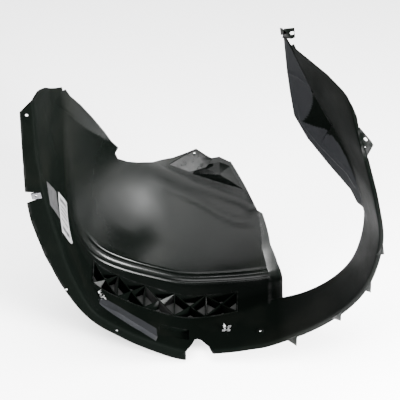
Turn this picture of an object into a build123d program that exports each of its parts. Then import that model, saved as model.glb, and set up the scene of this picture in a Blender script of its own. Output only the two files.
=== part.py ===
from build123d import *
import math
import os

# Driving dimensions, in millimetres. X runs along the car, Y goes inboard, Z is up.
# The liner stands on the crown of its arch, with its two arms up.
WALL = 3.0
CREASE_RADIUS = 7.0
RIM_RADIUS = 5.0
RIM_HEIGHT = 9.0
# Straight steps between two stations of the band, and of the whole dish.
BAND_STEPS = 2
DISH_STEPS = 16
# How far the dish laps the band, and how far it stands in front of the band's face there.
LAP = 8.0
SEAM = 0.3
FRONT_FLANGE = 26.0
REAR_FLANGE = 8.0

# The lip crease, from the top of the front arm round the crown to the end of the rear arm:
# X, Z, how far inboard the crease lies, depth of the band, and how far it closes in.
LIP_STATIONS = [
    (-303.0, 580.0, 30.0, 105.0, 22.0),
    (-300.0, 450.0, 10.0, 105.0, 18.0),
    (-287.0, 366.0, 3.0, 105.0, 8.0),
    (-270.0, 287.0, 0.0, 105.0, -2.0),
    (-250.0, 203.0, 0.0, 105.0, -12.0),
    (-211.0, 113.0, 0.0, 105.0, -18.0),
    (-151.0, 63.0, 0.0, 105.0, -14.0),
    (-90.0, 30.0, 0.0, 105.0, -9.0),
    (-28.0, 8.0, 0.0, 107.0, -4.0),
    (40.0, 9.0, 0.0, 112.0, 3.0),
    (102.0, 19.0, 0.0, 120.0, 11.0),
    (147.0, 31.0, 0.0, 124.0, 14.0),
    (226.0, 70.0, 0.0, 118.0, 6.0),
    (289.0, 121.0, 0.0, 112.0, 2.0),
    (328.0, 185.0, 0.0, 106.0, 4.0),
    (345.0, 280.0, 0.0, 102.0, 10.0),
    (331.0, 366.0, 0.0, 112.0, 25.0),
    (308.0, 450.0, 0.0, 135.0, 42.0),
    (281.0, 540.0, 0.0, 190.0, 74.0),
    (262.0, 610.0, 0.0, 230.0, 92.0),
]

# The dish: the deep tread over the crown and the inboard wall that rises from it.
# Its sections fan round an axis along Y.
FAN_X = -40.0
FAN_Z = 420.0
# Direction of each section in degrees, depth of its inner corner, how far the corner
# stands off the band's inner edge towards the fan's axis, and the wall's rise inboard.
DISH_STATIONS = [
    (150.0, 165.0, 24.0, 60.0),
    (165.0, 172.0, 22.0, 62.0),
    (180.0, 182.0, 18.0, 66.0),
    (197.0, 198.0, 12.0, 72.0),
    (214.0, 208.0, 2.0, 84.0),
    (231.0, 214.0, -7.0, 90.0),
    (248.0, 232.0, -9.0, 82.0),
    (264.0, 246.0, -5.0, 70.0),
    (279.0, 252.0, -11.0, 66.0),
    (293.0, 254.0, -30.0, 66.0),
    (305.0, 254.0, -42.0, 66.0),
    (316.0, 254.0, -46.0, 66.0),
]
DISH_REACH = 315.0
# Shape of the wall from its corner to its inner end: share of the reach, share of the rise.
WALL_CURVE = [(0.015, 0.04), (0.05, 0.10), (0.2, 0.32), (0.45, 0.62), (0.72, 0.85), (1.0, 1.0)]

# The rear wall: height at which each section leaves the band, and where it ends free.
REAR_WALL = [
    (302.0, (313.0, 122.0, 292.0)),
    (339.0, (300.0, 135.0, 314.0)),
    (400.0, (256.0, 172.0, 352.0)),
    (445.0, (216.0, 218.0, 384.0)),
    (485.0, (189.0, 240.0, 424.0)),
    (520.0, (179.0, 247.0, 474.0)),
    (562.0, (171.0, 252.0, 523.0)),
    (605.0, (162.0, 258.0, 595.0)),
]
CORNER_SOFTNESS = 8.0

# Beads along the dish's inner corner.
BEADS_FROM = 238.0
BEADS_TO = 300.0
BEAD_RADIUS = 4.0
# Their places along the dish's line: on the tread and on the wall.
BEAD_PLACES = (3, 5)

# The lattice recess sunk in the tread.
LATTICE_FROM = 240.5
LATTICE_PITCH = 9.15
LATTICE_CELLS = 5
LATTICE_NEAR = 113.0
LATTICE_FAR = 191.0
RECESS_DEPTH = 24.0
RIB = 2.4
FRAME_LIP = 2.0
DRAIN_CELLS = (1, 3, 4, 4.85)
DRAIN_RADIUS = 2.5

# The faceted bump on the dome, X, Y and Z of its base corners and its tip.
BUMP_BASE = [(-24.0, 307.0, 239.0), (-8.0, 310.0, 259.0), (40.0, 311.0, 268.0), (66.0, 309.0, 258.0), (100.0, 297.0, 196.0)]
BUMP_TIP = (42.0, 284.0, 254.0)
BUMP_SINK = 2.0

# Top of the front arm: corner of its flange in front view, X and Z.
ARM_CORNER = [(-360.0, 530.0), (-326.0, 556.0), (-310.0, 572.0), (-299.0, 581.0), (-299.0, 660.0), (-360.0, 660.0)]
# Top edge of its tread in side view, Y and Z, from the flange inboard.
ARM_TREAD = [
    (-20.0, 586.0),
    (49.0, 581.0),
    (78.0, 573.0),
    (109.0, 547.0),
    (126.0, 534.0),
    (147.0, 525.0),
    (161.0, 525.0),
    (173.0, 508.0),
    (340.0, 508.0),
    (340.0, 660.0),
    (-20.0, 660.0),
]
ARM_INNER_X = -200.0

# End of the rear arm in front view, X and Z, closed round the side that is cut away.
ARM_END = [
    (310.0, 470.0),
    (300.0, 500.0),
    (288.0, 537.0),
    (283.0, 559.0),
    (274.0, 580.0),
    (264.0, 596.0),
    (256.0, 600.0),
    (226.0, 599.0),
    (193.0, 594.0),
    (176.0, 594.0),
    (163.0, 601.0),
    (150.0, 610.0),
    (150.0, 680.0),
    (360.0, 680.0),
    (360.0, 470.0),
]

# The pointed lip tab at the end of the rear arm, X and Z, with its slot and its hole.
LIP_TAB = [(303.0, 462.0), (308.5, 479.0), (317.0, 500.0), (313.0, 507.0), (289.0, 537.0), (286.0, 530.0)]
TAB_SLOT = (302.0, 512.0)
TAB_SLOT_LENGTH = 10.0
TAB_SLOT_WIDTH = 5.0
TAB_SLOT_TURN = 125.0
TAB_HOLE = (301.5, 495.0)
TAB_HOLE_RADIUS = 2.0

# The bracket tab at the inner tip of the rear arm.
TIP_TAB = [(160.0, 590.0), (163.0, 609.0), (183.0, 611.0), (185.0, 591.0), (178.0, 588.0)]
TIP_TAB_Y = 252.0
TIP_TAB_HOLE = (179.0, 600.0)
TIP_TAB_HOLE_RADIUS = 4.5

# The cut-out in the crown of the lip, seen from above, X and Y.
CROWN_CUT = [
    (-30.0, -20.0),
    (-30.0, 0.0),
    (-18.0, 23.0),
    (-11.0, 42.0),
    (-6.0, 45.0),
    (2.0, 41.0),
    (17.0, 20.0),
    (22.0, 5.0),
    (29.0, 0.0),
    (29.0, -20.0),
]

# Flat pointed teeth on the rear lip, X and Z of their corners.
TEETH = [
    [(176.0, 38.0), (197.0, 50.0), (197.0, 21.0)],
    [(264.0, 94.0), (283.0, 110.0), (283.0, 87.0)],
    [(323.0, 165.0), (337.0, 186.0), (338.0, 159.0)],
    [(342.0, 250.0), (353.0, 275.0), (357.0, 253.0)],
]

# Screw holes through the front flange, X and Z.
FLANGE_HOLES = [(-316.0, 548.0), (-264.0, 166.0), (-168.0, 61.0)]
FLANGE_HOLE_RADIUS = 3.0

# The notch in the front flange and the spring nut clipped over its edge.
NOTCH_Z = 389.0
NOTCH_DEPTH = 14.0
NOTCH_MOUTH = 21.0
NOTCH_FLOOR = 13.0
NUT_LENGTH = 17.0
NUT_WIDTH = 12.0
SHEET = 0.8
CLIP_GAP = 0.3
NUT_HOLE_RADIUS = 2.5

# The sunk pocket beside the crown cut-out, X and Y of its middle, and its size.
POCKET_X = -54.0
POCKET_Y = 55.0
POCKET_LENGTH = 64.0
POCKET_WIDTH = 34.0
POCKET_DEPTH = 7.0

# Push-on clips, each on a stud moulded on the band: X, Y, and the clip's turn in degrees.
CLIPS = {"front": (-204.0, 82.0, 20.0), "crown": (56.0, 62.0, -10.0)}
CLIP_SIZE = 17.0
CLIP_EAR = 9.0
STUD_RADIUS = 2.2
STUD_HEIGHT = 6.0
STUD_CLEARANCE = 0.3
PAD_RADIUS = 6.0
PAD_HEIGHT = 2.5

# The ringed hole in the band.
RING_X = 124.0
RING_Y = 40.0
RING_RADIUS = 7.0
RING_HEIGHT = 1.5
RING_HOLE_RADIUS = 3.0

# The stiffening bead on the band, as X and Y.
BAND_BEAD = [(-184.0, 44.0), (-150.0, 37.0), (-122.0, 28.0), (-96.0, 16.0)]
BAND_BEAD_RADIUS = 3.0

# Free outline of the dish in front view, X and Z, closed round the side that is cut away.
DISH_OUTLINE = [
    (-340.0, 640.0),
    (-262.0, 640.0),
    (-261.0, 525.0),
    (-250.0, 496.0),
    (-235.0, 469.0),
    (-218.0, 436.0),
    (-201.0, 399.0),
    (-181.0, 353.0),
    (-169.0, 331.0),
    (-176.0, 315.0),
    (-171.0, 297.0),
    (-152.0, 284.0),
    (-130.0, 276.0),
    (-100.0, 271.0),
    (-59.0, 279.0),
    (-28.0, 289.0),
    (-8.0, 297.0),
    (23.0, 274.0),
    (41.0, 277.0),
    (62.0, 266.0),
    (76.0, 262.0),
    (85.0, 244.0),
]

# The turned edge strip at the right of the dish: place along the dish's line, direction of
# its fold, direction of its free edge, and how far the free edge falls back.
EDGE_STRIP = [
    (0, 296.4, 300.2, 0.0),
    (1, 295.9, 299.4, 5.0),
    (3, 295.2, 298.2, 12.0),
    (5, 295.3, 298.7, 13.0),
    (6, 297.3, 300.6, 11.0),
    (7, 302.5, 303.6, 4.0),
]


def unit(vector):
    length = math.hypot(*vector)
    return tuple(part / length for part in vector)


def shifted(point, direction, distance):
    return tuple(a + b * distance for a, b in zip(point, direction))


def smooth(keys, values, key):
    """Value at a key on the smooth curve through given values at given keys."""
    last = len(keys) - 1
    i = max([j for j in range(last) if keys[j] <= key], default=0)
    rates = []
    for j in (i, i + 1):
        before = max(j - 1, 0)
        after = min(j + 1, last)
        rates.append((values[after] - values[before]) / (keys[after] - keys[before]))
    step = keys[i + 1] - keys[i]
    t = (key - keys[i]) / step
    rise = values[i + 1] - values[i]
    curve = (rates[0] + rates[1]) * step - 2 * rise
    bend = 3 * rise - (2 * rates[0] + rates[1]) * step
    return values[i] + rates[0] * step * t + bend * t**2 + curve * t**3


def lip_station(place):
    """X, Z, inboard shift, depth and closing of the band at a place between the stations."""
    keys = list(range(len(LIP_STATIONS)))
    return [smooth(keys, column, place) for column in zip(*LIP_STATIONS)]


def inward(place):
    """Unit vector across the lip crease at one place, pointing at the wheel."""
    before = lip_station(place - 0.05)
    after = lip_station(place + 0.05)
    run = unit((after[0] - before[0], after[1] - before[1]))
    return (-run[1], run[0])


def corner(middle, first, second, radius):
    """Start, middle and end of the arc that rounds one corner of a section."""
    a = unit((first[0] - middle[0], first[1] - middle[1]))
    b = unit((second[0] - middle[0], second[1] - middle[1]))
    half = math.acos(a[0] * b[0] + a[1] * b[1]) / 2
    bisector = unit((a[0] + b[0], a[1] + b[1]))
    centre = shifted(middle, bisector, radius / math.sin(half))
    cut = radius / math.tan(half)
    return shifted(middle, a, cut), shifted(centre, bisector, -radius), shifted(middle, b, cut)


def band_section(place):
    """Closed section of the band: lip flange, rounded crease, tread and inner rim."""
    x, z, inboard, depth, close = lip_station(place)
    n = inward(place)
    flange = FRONT_FLANGE if x < 0 else REAR_FLANGE

    def at(point):
        return Vector(x - n[0] * point[0], inboard + point[1], z - n[1] * point[0])

    # Sections are drawn with outward distance first and depth second.
    run = unit((-close, depth))
    visible = [(flange, 0.0), (0.0, 0.0), (-close, depth), (RIM_HEIGHT - close, depth)]

    def behind(deep):
        """Point of the tread's hidden side at one depth."""
        return (WALL * run[1] + run[0] * (deep + run[0] * WALL) / run[1], deep)

    hidden = [
        (flange, WALL),
        behind(WALL),
        behind(depth - WALL),
        (RIM_HEIGHT - close, depth - WALL),
    ]
    crease = corner(visible[1], visible[0], visible[2], CREASE_RADIUS)
    rim = corner(visible[2], visible[1], visible[3], RIM_RADIUS)
    return Face(
        Wire(
            [
                Edge.make_line(at(visible[0]), at(crease[0])),
                Edge.make_three_point_arc(*[at(p) for p in crease]),
                Edge.make_line(at(crease[2]), at(rim[0])),
                Edge.make_three_point_arc(*[at(p) for p in rim]),
                Edge.make_line(at(rim[2]), at(visible[3])),
                Edge.make_line(at(visible[3]), at(hidden[3])),
                Edge.make_line(at(hidden[3]), at(hidden[2])),
                Edge.make_line(at(hidden[2]), at(hidden[1])),
                Edge.make_line(at(hidden[1]), at(hidden[0])),
                Edge.make_line(at(hidden[0]), at(visible[0])),
            ]
        )
    )


def band():
    steps = (len(LIP_STATIONS) - 1) * BAND_STEPS
    return loft([band_section(i / BAND_STEPS) for i in range(steps + 1)], ruled=True)


def band_edge(place):
    """Inner edge of the band at one place."""
    x, z, inboard, depth, close = lip_station(place)
    n = inward(place)
    return Vector(x + n[0] * close, inboard + depth, z + n[1] * close)


def found(wanted, point_at):
    """Place along the stations where wanted changes from true to false."""
    low = 0.0
    high = len(LIP_STATIONS) - 1.0
    for _ in range(26):
        middle = (low + high) / 2
        if wanted(point_at(middle)):
            low = middle
        else:
            high = middle
    return low


def rim_point(wanted):
    return band_edge(found(wanted, band_edge))


def lip_crease(place):
    x, z, inboard = lip_station(place)[:3]
    return Vector(x, inboard, z)


def fan_angle(point):
    """Direction of a point from the fan's axis, rising from the front arm to the rear arm."""
    angle = math.degrees(math.atan2(point.Z - FAN_Z, point.X - FAN_X)) % 360
    return angle if angle > 90 else angle + 360


def lap_point(place):
    """Point of the band's tread where the dish begins to lap it."""
    lip = lip_crease(place)
    edge = band_edge(place)
    return edge + (lip - edge) * (LAP / (edge.Y - lip.Y))


def lap_reach(angle):
    """How far the start of the lap lies from the fan's axis in one direction, and its depth."""
    p = lap_point(found(lambda q: fan_angle(q) < angle, lap_point))
    return math.hypot(p.X - FAN_X, p.Z - FAN_Z), p.Y


def thin_section(points, at):
    """Closed section along a line of points: smooth on the visible side, straight steps behind."""
    share = [i / (len(points) - 1) for i in range(len(points))]
    back = []
    for i, point in enumerate(points):
        before = points[max(i - 1, 0)]
        after = points[min(i + 1, len(points) - 1)]
        run = unit((after[0] - before[0], after[1] - before[1]))
        back.append(shifted(point, (run[1], -run[0]), WALL))
    near = Edge.make_spline([at(p) for p in points], parameters=share)
    rest = [at(p) for p in [points[-1], *back[::-1], points[0]]]
    return Face(Wire([near, *[Edge.make_line(a, b) for a, b in zip(rest, rest[1:])]]))


def dish_station(angle):
    """Corner depth, stand-off and rise of the dish at any direction."""
    keys, *columns = zip(*DISH_STATIONS)
    return [smooth(keys, column, angle) for column in columns]


def fan_ray(angle):
    return (math.cos(math.radians(angle)), math.sin(math.radians(angle)))


def fan_point(angle, radius, depth):
    ray = fan_ray(angle)
    return Vector(FAN_X + ray[0] * radius, depth, FAN_Z + ray[1] * radius)


def dish_line(angle):
    """Points of the dish's visible face in one direction: tread, corner and wall."""
    corner_depth, close, rise = dish_station(angle)
    reach, first = lap_reach(angle)
    start = reach - SEAM
    knee = reach - close
    points = [
        (start, first),
        (start + (knee - start) * 0.35, first + (corner_depth - first) * 0.35),
        (start + (knee - start) * 0.7, first + (corner_depth - first) * 0.7),
        (knee, corner_depth - CORNER_SOFTNESS),
    ]
    wall_reach = min(DISH_REACH, knee - 60.0)
    for along, in_share in WALL_CURVE:
        points.append((knee - wall_reach * along, corner_depth + rise * in_share))
    return points


def tread_radius(angle, depth):
    """Radius of the dish's tread at one direction and depth."""
    line = dish_line(angle)
    share = (depth - line[0][1]) / (line[3][1] - line[0][1])
    return line[0][0] + (line[3][0] - line[0][0]) * share


def dish_section(angle):
    return thin_section(dish_line(angle), lambda p: fan_point(angle, *p))


def dish_body():
    start = DISH_STATIONS[0][0]
    sweep_angle = DISH_STATIONS[-1][0] - start
    places = [start + sweep_angle * i / DISH_STEPS for i in range(DISH_STEPS + 1)]
    return loft([dish_section(angle) for angle in places], ruled=True)


def rod(points, radius):
    """Eight-sided bead along a line of points."""
    sections = []
    for i, point in enumerate(points):
        run = points[min(i + 1, len(points) - 1)] - points[max(i - 1, 0)]
        sections.append(Plane(point, x_dir=run.cross(Vector(0, 1, 0)), z_dir=run) * RegularPolygon(radius, 8))
    return loft(sections, ruled=True)


def dish_beads():
    """The two beads that run along the inner corner of the dish."""
    angles = [BEADS_FROM + (BEADS_TO - BEADS_FROM) * i / 10 for i in range(11)]
    beads = []
    for place in BEAD_PLACES:
        beads.append(rod([fan_point(a, *dish_line(a)[place]) for a in angles], BEAD_RADIUS))
    return beads


def recess_block(top, bottom, margin):
    """Solid over the lattice, between two heights off the tread, wider by a margin."""
    sections = []
    swing = math.degrees(margin / FAN_Z)
    start = LATTICE_FROM - swing
    end = LATTICE_FROM + LATTICE_CELLS * LATTICE_PITCH + swing
    near = LATTICE_NEAR - margin
    far = LATTICE_FAR + margin
    for i in range(7):
        angle = start + (end - start) * i / 6
        r_near = tread_radius(angle, near)
        r_far = tread_radius(angle, far)
        corners = [
            fan_point(angle, r_near + top, near),
            fan_point(angle, r_far + top, far),
            fan_point(angle, r_far + bottom, far),
            fan_point(angle, r_near + bottom, near),
        ]
        edges = [Edge.make_line(a, b) for a, b in zip(corners, corners[1:] + corners[:1])]
        sections.append(Face(Wire(edges)))
    return loft(sections, ruled=True)


def rib_plate(first, second):
    """Upright plate across the recess between two points of the tread."""
    middle = (first + second) / 2
    out = Vector(middle.X - FAN_X, 0, middle.Z - FAN_Z).normalized()
    along = second - first
    plane = Plane(middle, x_dir=along, z_dir=out - along.normalized() * out.dot(along.normalized()))
    return plane * Box(along.length + 8, RIB, RECESS_DEPTH * 2)


def lattice_plates():
    """Upright walls of the recess: a cross in each cell and a wall between cells."""
    plates = []
    last = ()
    for i in range(LATTICE_CELLS + 1):
        angle = LATTICE_FROM + i * LATTICE_PITCH
        near = fan_point(angle, tread_radius(angle, LATTICE_NEAR), LATTICE_NEAR)
        far = fan_point(angle, tread_radius(angle, LATTICE_FAR), LATTICE_FAR)
        if 0 < i < LATTICE_CELLS:
            plates.append(rib_plate(near, far))
        if i > 0:
            plates.append(rib_plate(last[0], far))
            plates.append(rib_plate(last[1], near))
        last = (near, far)
    return plates


def dish():
    """The dish with its beads, bump, lattice recess and trimmed outline."""
    body = dish_body().fuse(*dish_beads())
    body = body.fuse(recess_block(-FRAME_LIP, RECESS_DEPTH, WALL))
    cells = recess_block(-3 * WALL, RECESS_DEPTH - WALL, 0.0)
    for plate in lattice_plates():
        cells = cells.cut(plate)
    body = body.cut(cells)
    body = body.fuse(bump(0.0, WALL / 2)).cut(bump(WALL, 8 * WALL))
    drain = []
    for angle in [LATTICE_FROM + i * LATTICE_PITCH for i in DRAIN_CELLS]:
        middle = fan_point(angle, FAN_Z, LATTICE_FAR + WALL + DRAIN_RADIUS)
        out = Vector(*fan_ray(angle)[:1], 0, fan_ray(angle)[1])
        drain.append(Plane(middle, z_dir=out) * Cylinder(DRAIN_RADIUS, 12 * WALL))
    body = body.cut(*drain)
    return body.cut(outline_tool(dish_outline()))


def bump(behind, reach):
    """Faceted pyramid on the dome, or its hollow some way behind, carried inboard by a reach."""
    base = [Vector(x, y + BUMP_SINK + behind, z) for x, y, z in BUMP_BASE]
    middle = sum(base, Vector(0, 0, 0)) / len(base)
    base = [p + (middle - p).normalized() * 2 * behind for p in base]
    tip = Vector(BUMP_TIP[0], BUMP_TIP[1] + behind, BUMP_TIP[2])
    inboard = Vector(0, reach, 0)
    hub = sum(base, Vector(0, 0, 0)) / len(base) + inboard
    faces = []
    for a, b in zip(base, base[1:] + base[:1]):
        far_a = a + inboard
        far_b = b + inboard
        for corners in ((a, b, tip), (b, a, far_a, far_b), (far_b, far_a, hub)):
            faces.append(Face(Wire.make_polygon(corners)))
    return Solid(Shell(faces))


def outline_tool(points):
    """Cutter drawn in front view, reaching through the whole depth."""
    return extrude(Plane.XZ * make_face(Polyline(*points, close=True)), amount=-400, both=True)


def strip_section(start, end, hidden):
    """Closed straight section between two points, thickened towards the hidden side."""
    along = (end - start).normalized()
    side = (hidden - along * hidden.dot(along)).normalized()
    corners = [start, end, end + side * WALL, start + side * WALL]
    edges = [Edge.make_line(a, b) for a, b in zip(corners, corners[1:] + corners[:1])]
    return Face(Wire(edges))


def line_back(angle, place):
    """Direction from the dish's visible face to its hidden face at one place of its line."""
    line = dish_line(angle)
    before = line[max(place - 1, 0)]
    after = line[place + 1]
    run = unit((after[0] - before[0], after[1] - before[1]))
    return fan_point(angle, FAN_Z + run[1], -run[0]) - fan_point(angle, FAN_Z, 0.0)


def edge_strip():
    """The strip turned back along the right edge of the dish."""
    sections = []
    for place, fold, free, fall in EDGE_STRIP:
        back = line_back(fold, place)
        start = fan_point(fold, *dish_line(fold)[place]) + back * SEAM / 2
        end = fan_point(free, *dish_line(free)[place]) + back * fall
        start = start - (end - start).normalized() * 4.0
        sections.append(strip_section(start, end, back))
    return loft(sections, ruled=True)


def dish_outline():
    """The dish's free outline, with its right side along the fold of the edge strip."""
    fold = []
    for place, angle, free, fall in EDGE_STRIP[:0:-1]:
        p = fan_point(angle, *dish_line(angle)[place])
        fold.append((p.X, p.Z))
    foot = fan_point(EDGE_STRIP[0][1], 560.0, 0.0)
    return DISH_OUTLINE + fold + [(foot.X, foot.Z), (460.0, foot.Z), (460.0, 640.0)]


def arm_tool():
    """Cutter for the top of the front arm."""
    side = extrude(Plane.YZ.offset(ARM_INNER_X) * make_face(Polyline(*ARM_TREAD, close=True)), amount=-200)
    return outline_tool(ARM_CORNER) + side


def tread_point(x, y):
    """Point of the band's tread over the crown at one X and Y."""
    lip = lip_crease(found(lambda q: q.X < x, lip_crease))
    rim = rim_point(lambda q: q.X < x)
    return Vector(x, y, lip.Z + (rim.Z - lip.Z) * (y - lip.Y) / (rim.Y - lip.Y))


def tread_plane(x, y):
    """Plane on the band's tread, its Z axis towards the wheel and its X axis along the band."""
    middle = tread_point(x, y)
    along = tread_point(x + 4, y) - tread_point(x - 4, y)
    across = tread_point(x, y + 4) - tread_point(x, y - 4)
    return Plane(middle, x_dir=along, z_dir=along.cross(across))


def flange_plane(z):
    """Plane on the front flange at one height: X axis outward, Z axis towards the viewer."""
    place = found(lambda q: q.Z > z, lip_crease)
    n = inward(place)
    out = Vector(-n[0], 0, -n[1])
    along = lip_crease(place + 0.05) - lip_crease(place - 0.05)
    return Plane(lip_crease(place), x_dir=out, z_dir=out.cross(along))


def pocket(margin, top):
    """Block of the pocket sunk in the band, grown by a margin."""
    depth = POCKET_DEPTH + margin
    block = Box(
        POCKET_LENGTH + 2 * margin,
        POCKET_WIDTH + 2 * margin,
        depth + top,
        align=(Align.CENTER, Align.CENTER, Align.MAX),
    )
    return tread_plane(POCKET_X, POCKET_Y) * Pos(0, 0, top) * block


def drilled(x, z, radius):
    """Cutter for a round hole through the depth."""
    return Pos(x, 0, z) * Rot(90, 0, 0) * Cylinder(radius, 60)


def tab_plate(points, y):
    return extrude(Plane.XZ.offset(-y) * make_face(Polyline(*points, close=True)), amount=-WALL)


def notch_tool():
    """Cutter for the notch in the front flange, open at the flange's edge."""
    far = FRONT_FLANGE + 20
    floor = FRONT_FLANGE - NOTCH_DEPTH
    shape = Polyline(
        (floor, -NOTCH_FLOOR / 2),
        (far, -NOTCH_MOUTH / 2 - 4),
        (far, NOTCH_MOUTH / 2 + 4),
        (floor, NOTCH_FLOOR / 2),
        close=True,
    )
    return extrude(flange_plane(NOTCH_Z) * make_face(shape), amount=6 * WALL, both=True)


def spring_nut():
    """Folded sheet nut gripping the floor of the notch."""
    floor = FRONT_FLANGE - NOTCH_DEPTH
    outer = floor + NUT_LENGTH - 5
    front = Pos(outer - NUT_LENGTH / 2, 0, CLIP_GAP + SHEET / 2) * Box(NUT_LENGTH, NUT_WIDTH, SHEET)
    rear = Pos(outer - NUT_LENGTH / 2, 0, -WALL - CLIP_GAP - SHEET / 2) * Box(NUT_LENGTH, NUT_WIDTH, SHEET)
    span = WALL + 2 * CLIP_GAP + 2 * SHEET
    bend = Pos(outer, 0, -WALL / 2) * Rot(90, 0, 0) * Cylinder(span / 2, NUT_WIDTH)
    bend -= Pos(outer, 0, -WALL / 2) * Rot(90, 0, 0) * Cylinder(span / 2 - SHEET, NUT_WIDTH * 2)
    bend -= Pos(outer - span, 0, -WALL / 2) * Box(2 * span, NUT_WIDTH * 2, span * 2)
    hole = Pos(floor + 5, 0, 0) * Cylinder(NUT_HOLE_RADIUS, 20)
    return flange_plane(NOTCH_Z) * (front + rear + bend - hole)


def rear_section(height, end):
    """Closed section of the rear wall, from inside the band's rounded rim to its free edge."""
    middle_x = LIP_STATIONS[len(LIP_STATIONS) // 2][0]
    place = found(lambda q: q.X < middle_x or q.Z < height, band_edge)
    n = inward(place)
    root = (RIM_RADIUS - WALL / 2) / 2
    start = band_edge(place) - Vector(n[0] * root, root, n[1] * root)
    end = Vector(*end)
    along = (end - start).normalized()
    # Away from the wheel, square to the wall
    side = along.cross(Vector(0, 1, 0)).cross(along).normalized()
    start = start - side * (WALL / 2)
    length = (end - start).length

    def at(point):
        return start + along * point[0] + side * point[1]

    return strip_section(at((0.0, 0.0)), at((length, 0.0)), side)


def rear_wall():
    return loft([rear_section(height, end) for height, end in REAR_WALL], ruled=True)


def push_clip(x, y, turn):
    """Sheet clip pressed on a stud: a plate with a hole and four corners, one bent up."""
    plate = Pos(0, 0, SHEET / 2) * Box(CLIP_SIZE, CLIP_SIZE, SHEET)
    for side in (-1, 1):
        notch = Box(CLIP_SIZE / 3, CLIP_SIZE / 3, 4 * SHEET)
        plate -= Pos(side * CLIP_SIZE / 2, 0, 0) * notch
        plate -= Pos(0, side * CLIP_SIZE / 2, 0) * notch
    ear = Polyline((-CLIP_SIZE / 2, 0), (-CLIP_SIZE / 6, 0), (-CLIP_SIZE / 3, CLIP_EAR), close=True)
    ear = extrude(Plane.XZ * make_face(ear), amount=SHEET)
    plate += Pos(0, CLIP_SIZE / 2, 0) * ear
    plate -= Cylinder(STUD_RADIUS + STUD_CLEARANCE, 8 * SHEET)
    return tread_plane(x, y) * Pos(0, 0, PAD_HEIGHT + CLIP_GAP) * Rot(0, 0, turn) * plate


def stud(x, y):
    """Round stud and its pad on the band, which carry a push-on clip."""
    pin = upright(STUD_RADIUS, PAD_HEIGHT + STUD_HEIGHT)
    return tread_plane(x, y) * (pin + upright(PAD_RADIUS, PAD_HEIGHT))


def upright(radius, height):
    """Round boss of one height, rooted in the wall below."""
    length = height + WALL / 2
    return Pos(0, 0, length / 2 - WALL / 2) * Cylinder(radius, length)


def ring():
    return tread_plane(RING_X, RING_Y) * upright(RING_RADIUS, RING_HEIGHT)


def shell():
    """The whole liner as one moulding."""
    body = band()
    body = body.cut(arm_tool(), notch_tool())
    body = body.fuse(pocket(WALL, 0.0)).cut(pocket(0.0, 20.0))
    body = body.fuse(rod([tread_point(x, y) for x, y in BAND_BEAD], BAND_BEAD_RADIUS))
    body = body.fuse(ring(), *[stud(x, y) for x, y, turn in CLIPS.values()])
    wall = dish().cut(arm_tool())
    body = body.fuse(wall, edge_strip(), rear_wall())
    body = body.cut(outline_tool(ARM_END))
    body = body.fuse(tab_plate(LIP_TAB, 0.0), tab_plate(TIP_TAB, TIP_TAB_Y), *[tab_plate(tooth, 0.0) for tooth in TEETH])
    slot = Rot(0, 0, TAB_SLOT_TURN) * SlotOverall(TAB_SLOT_LENGTH, TAB_SLOT_WIDTH)
    slot = extrude(Plane.XZ * Pos(*TAB_SLOT) * slot, amount=20, both=True)
    crown = extrude(make_face(Polyline(*CROWN_CUT, close=True)), amount=60, both=True)
    holes = [drilled(x, z, FLANGE_HOLE_RADIUS) for x, z in FLANGE_HOLES]
    holes.append(drilled(*TAB_HOLE, TAB_HOLE_RADIUS))
    holes.append(Pos(0, TIP_TAB_Y, 0) * drilled(*TIP_TAB_HOLE, TIP_TAB_HOLE_RADIUS))
    holes.append(tread_plane(RING_X, RING_Y) * Cylinder(RING_HOLE_RADIUS, 12 * WALL))
    return body.cut(slot, crown, *holes)


os.makedirs("parts", exist_ok=True)
whole = shell()
print("solids", len(whole.solids()), [round(part.volume) for part in whole.solids()], whole.is_valid)
export_step(whole, "parts/liner_shell.step")
export_step(spring_nut(), "parts/lip_spring_nut.step")
for name, place in CLIPS.items():
    export_step(push_clip(*place), f"parts/{name}_clip.step")
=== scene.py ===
import math

import bmesh
import bpy
import numpy as np
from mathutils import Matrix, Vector
from mathutils.bvhtree import BVHTree

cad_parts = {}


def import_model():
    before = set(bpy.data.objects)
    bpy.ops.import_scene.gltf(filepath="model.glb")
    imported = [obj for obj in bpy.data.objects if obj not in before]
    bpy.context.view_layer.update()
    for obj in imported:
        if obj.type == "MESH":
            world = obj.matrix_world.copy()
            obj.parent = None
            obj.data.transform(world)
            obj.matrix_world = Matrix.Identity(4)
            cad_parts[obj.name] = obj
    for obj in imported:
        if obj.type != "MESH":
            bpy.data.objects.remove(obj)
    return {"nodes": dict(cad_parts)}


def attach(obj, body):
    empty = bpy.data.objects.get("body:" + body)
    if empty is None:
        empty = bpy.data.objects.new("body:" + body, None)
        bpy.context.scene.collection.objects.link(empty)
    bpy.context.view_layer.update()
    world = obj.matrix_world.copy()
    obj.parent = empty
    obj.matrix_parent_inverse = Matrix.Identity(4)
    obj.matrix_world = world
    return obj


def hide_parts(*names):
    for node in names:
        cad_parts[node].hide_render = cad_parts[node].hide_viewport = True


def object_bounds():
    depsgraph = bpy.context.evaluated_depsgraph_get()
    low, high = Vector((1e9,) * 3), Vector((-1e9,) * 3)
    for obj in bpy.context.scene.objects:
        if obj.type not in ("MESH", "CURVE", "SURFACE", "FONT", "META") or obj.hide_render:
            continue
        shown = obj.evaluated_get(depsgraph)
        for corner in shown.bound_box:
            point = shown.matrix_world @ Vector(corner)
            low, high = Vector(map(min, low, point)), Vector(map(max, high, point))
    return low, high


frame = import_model()
cad_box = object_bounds()

# Camera: it looks down along the axis of the wheel.
ELEVATION = math.radians(35.0)
TARGET = Vector((0.0, 0.1, 0.25))
DISTANCE = 2.6
SENSOR = 36.0
LENS = 117.0
SHIFT_Y = 0.065

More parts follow.
